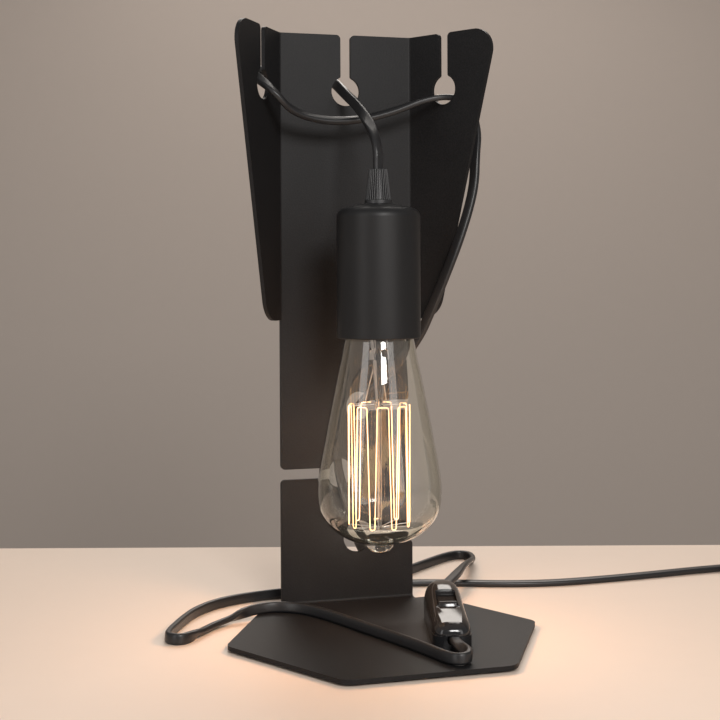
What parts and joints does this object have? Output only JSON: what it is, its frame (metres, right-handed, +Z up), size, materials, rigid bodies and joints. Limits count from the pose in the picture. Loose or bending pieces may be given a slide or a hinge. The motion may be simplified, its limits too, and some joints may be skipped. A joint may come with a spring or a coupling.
{
  "type": "table lamp",
  "caption": "Table lamp of one folded black steel sheet with keyholes, through which a flat cord is threaded to hang a lamp holder with a clear filament bulb.",
  "frame": {"origin": "middle of the foot print, on the floor under the pads", "axes": "+Z up, -Y towards the front where the holder hangs, +X to the right seen from the front"},
  "size_m": [0.4534, 0.2518, 0.3235],
  "materials": {
    "black_steel": "fine textured matt black powder coat",
    "pad_rubber": "matt",
    "black_cover": "matt black coat",
    "black_grip": "satin",
    "zinc_steel": "zinc plated",
    "holder_plastic": "matt",
    "brass": "plain",
    "cord_black": "satin",
    "clear_glass": "clear",
    "cap_metal": "plain",
    "cap_glass": "black",
    "solder": "dull",
    "filament_wire": "fine wire",
    "support_wire": "fine wire",
    "black_gloss": "glossy",
    "black_plug": "satin",
    "nickel_pin": "nickel plated"
  },
  "bodies": {
    "lamp_body": {"folded_body": "black_steel", "base_pads": "pad_rubber", "lamp_cord": "cord_black", "mains_cord": "cord_black", "cord_coil": "cord_black", "plug_relief": "black_plug", "plug_body": "black_plug", "plug_pins": "nickel_pin", "pin_sleeves": "black_plug", "switch_lower_shell": "black_gloss", "switch_upper_shell": "black_gloss", "switch_case_screws": "zinc_steel", "rocker_pin": "zinc_steel", "switch_terminal_blocks": "brass", "switch_terminal_screws": "zinc_steel", "switch_contacts": "brass", "switch_cord_clamps": "black_plug"},
    "rocker": {"switch_rocker": "black_gloss", "rocker_bridge": "brass"},
    "cord_pivot": {"cord_pivot": "cord_black"},
    "holder": {"holder_cover": "black_cover", "cord_grip": "black_grip", "threaded_nipple": "zinc_steel", "lock_nut": "zinc_steel", "holder_core": "holder_plastic", "screw_shell": "brass", "shell_rivets": "brass", "terminal_blocks": "brass", "terminal_screws": "zinc_steel", "centre_contact": "brass", "cord_tail": "cord_black"},
    "bulb_carriage": {"bulb_contact": "solder"},
    "bulb": {"bulb_cap": "cap_metal", "bulb_cap_insulator": "cap_glass", "bulb_glass": "clear_glass", "bulb_stem": "clear_glass", "filament": "filament_wire", "filament_supports": "support_wire", "lead_wires": "support_wire"}
  },
  "joints": [
    {"name": "rocker_tilt", "type": "hinge", "parent": "lamp_body", "child": "rocker", "pos_m": [0.03118, -0.00578, 0.0155], "axis": [0.9682, -0.2501, 0], "range_deg": [0, 20]},
    {"name": "fore_aft_swing", "type": "hinge", "parent": "lamp_body", "child": "cord_pivot", "pos_m": [-0.001, 0.0066, 0.247], "axis": [1, 0, 0], "range_deg": [-8, 4.5]},
    {"name": "sideways_swing", "type": "hinge", "parent": "cord_pivot", "child": "holder", "pos_m": [-0.001, 0.0066, 0.2456], "axis": [0, 1, 0], "range_deg": [-12, 12]},
    {"name": "bulb_screw_travel", "type": "slide", "parent": "holder", "child": "bulb_carriage", "axis": [0, 0, -1], "range_m": [0, 0.01452]},
    {"name": "bulb_turn", "type": "hinge", "parent": "bulb_carriage", "child": "bulb", "pos_m": [-0.001, 0.0066, 0.19], "axis": [0, 0, -1], "range_deg": [0, 1440]}
  ],
  "couplings": [
    {"joint": "bulb_screw_travel", "follows": "bulb_turn", "m_per_rad": 0.00057757}
  ]
}
